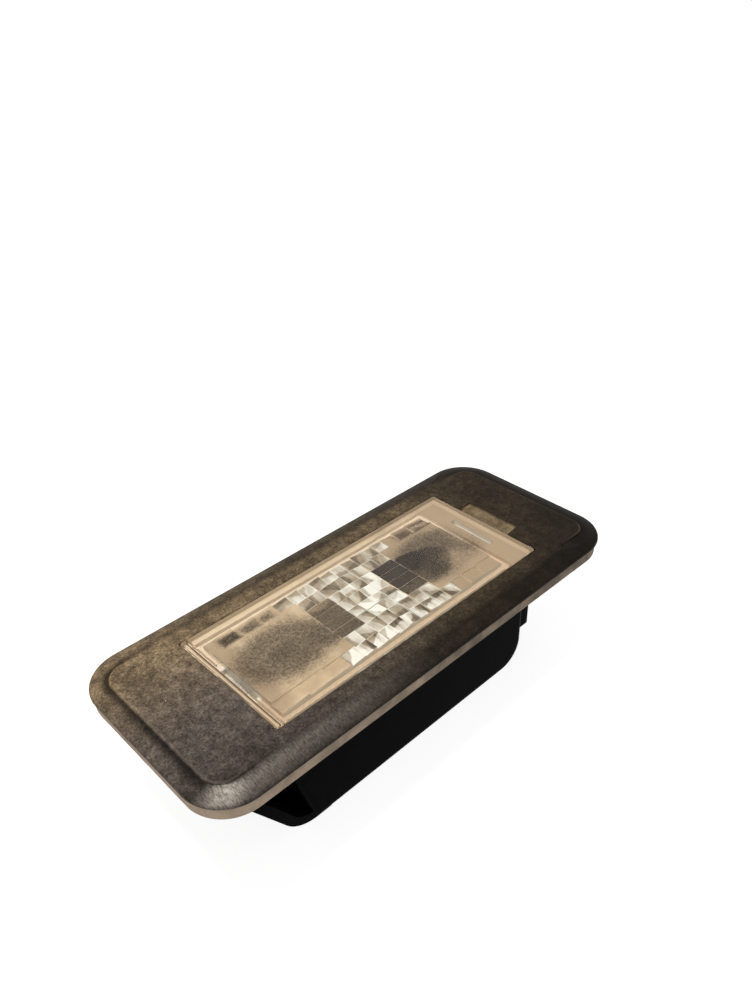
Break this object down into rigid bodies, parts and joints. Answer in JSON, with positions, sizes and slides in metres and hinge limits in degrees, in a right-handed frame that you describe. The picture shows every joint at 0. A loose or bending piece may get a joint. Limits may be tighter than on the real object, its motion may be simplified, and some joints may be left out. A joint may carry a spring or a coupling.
{
  "type": "number plate lamp",
  "caption": "Snap-in car number plate lamp: flanged moulded housing with spring latch and plug socket, foam gasket, clip-in prism lens and festoon bulb between spring contacts.",
  "frame": {"origin": "on the housing's back face, under the middle of the flange", "axes": "+X along the lamp from the spring latch towards the plug socket, +Z out of the lens"},
  "size_m": [0.0836, 0.035, 0.0223],
  "materials": {
    "housing_plastic": "fine moulded grain on the flange, smoother behind it, dusty",
    "gasket_foam": "soft closed-cell foam, dirty",
    "lens_acrylic": "clear moulded acrylic with prisms inside, beige dust along its edges",
    "contact_brass": "stamped sheet, slightly dull",
    "bulb_glass": "clear blown glass",
    "cap_plate": "nickel-plated brass",
    "filament_wire": "drawn wire"
  },
  "bodies": {
    "root": {"housing": "housing_plastic", "panel_gasket": "gasket_foam", "lens": "lens_acrylic", "contact_left": "contact_brass", "contact_right": "contact_brass", "bulb_glass": "bulb_glass", "bulb_cap_left": "cap_plate", "bulb_cap_right": "cap_plate", "bulb_filament": "filament_wire", "bulb_lead_left": "filament_wire", "bulb_lead_right": "filament_wire"}
  },
  "joints": []
}
